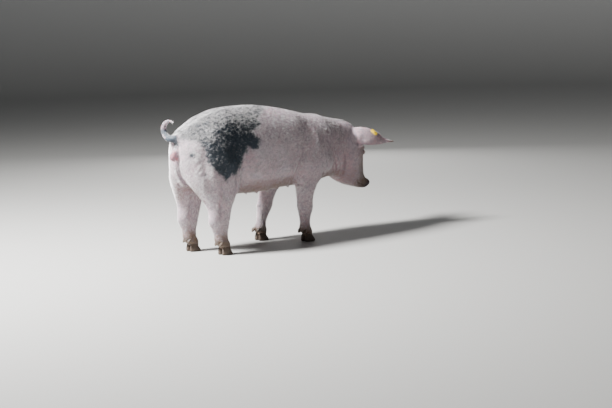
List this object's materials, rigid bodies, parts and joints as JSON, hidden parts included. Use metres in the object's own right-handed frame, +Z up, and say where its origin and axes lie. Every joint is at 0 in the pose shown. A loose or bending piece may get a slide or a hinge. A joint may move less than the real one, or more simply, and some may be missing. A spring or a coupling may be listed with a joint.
{
  "type": "pig",
  "caption": "Life-size still model of a domestic sow, standing with head lowered, one dark patch over rump and flank, ear tag in the right ear.",
  "frame": {"origin": "on the floor, under the centre of the bounding box", "axes": "+X forward to the snout and the ear tips, +Y to the animal's left, +Z up from the floor"},
  "size_m": [1.548, 0.4054, 0.831],
  "materials": {
    "hide": "matte, thinly covered with short white bristles",
    "snout_skin": "satin, bare",
    "eye": "gloss, wet",
    "horn": "dull",
    "tag_plastic": "satin"
  },
  "bodies": {
    "root": {"trunk": "hide", "neck": "hide", "head": "hide", "jaw": "hide", "snout_disc": "snout_skin", "ear_right": "hide", "ear_left": "hide", "eye_right": "eye", "eye_left": "eye", "ear_tag": "tag_plastic", "tail": "hide", "foreleg_right": "hide", "foreleg_right_claw_outer": "horn", "foreleg_right_dewclaw_outer": "horn", "foreleg_right_claw_inner": "horn", "foreleg_right_dewclaw_inner": "horn", "foreleg_left": "hide", "foreleg_left_claw_outer": "horn", "foreleg_left_dewclaw_outer": "horn", "foreleg_left_claw_inner": "horn", "foreleg_left_dewclaw_inner": "horn", "hindleg_right": "hide", "hindleg_right_claw_outer": "horn", "hindleg_right_dewclaw_outer": "horn", "hindleg_right_claw_inner": "horn", "hindleg_right_dewclaw_inner": "horn", "hindleg_left": "hide", "hindleg_left_claw_outer": "horn", "hindleg_left_dewclaw_outer": "horn", "hindleg_left_claw_inner": "horn", "hindleg_left_dewclaw_inner": "horn"}
  },
  "joints": []
}
